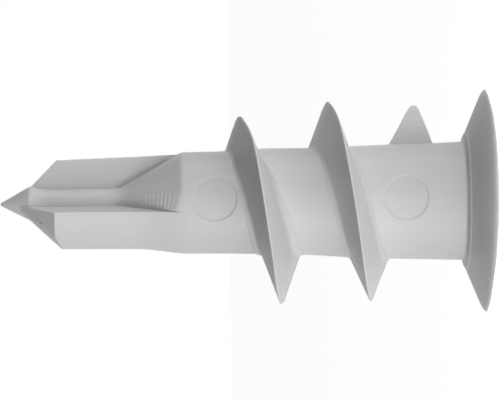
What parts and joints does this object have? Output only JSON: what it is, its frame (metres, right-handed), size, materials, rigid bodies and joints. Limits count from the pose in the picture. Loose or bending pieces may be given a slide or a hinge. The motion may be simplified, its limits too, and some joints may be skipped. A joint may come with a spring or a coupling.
{
  "type": "self-drilling drywall anchor",
  "caption": "Self-drilling drywall anchor in grey plastic, with a fluted drill point, a coarse right-hand flight, a wide flanged head and a blind screw bore with a cross recess.",
  "frame": {"origin": "centre of the head's flat outer face, on which the anchor stands", "axes": "+Z along the anchor's axis from the head to the drill point; the mould parts in the plane Y = 0 and the front of the picture is -Y"},
  "size_m": [0.0148, 0.0146, 0.032],
  "materials": {
    "grey_nylon": "satin moulded glass-filled nylon"
  },
  "bodies": {
    "root": {"drywall_anchor": "grey_nylon"}
  },
  "joints": []
}
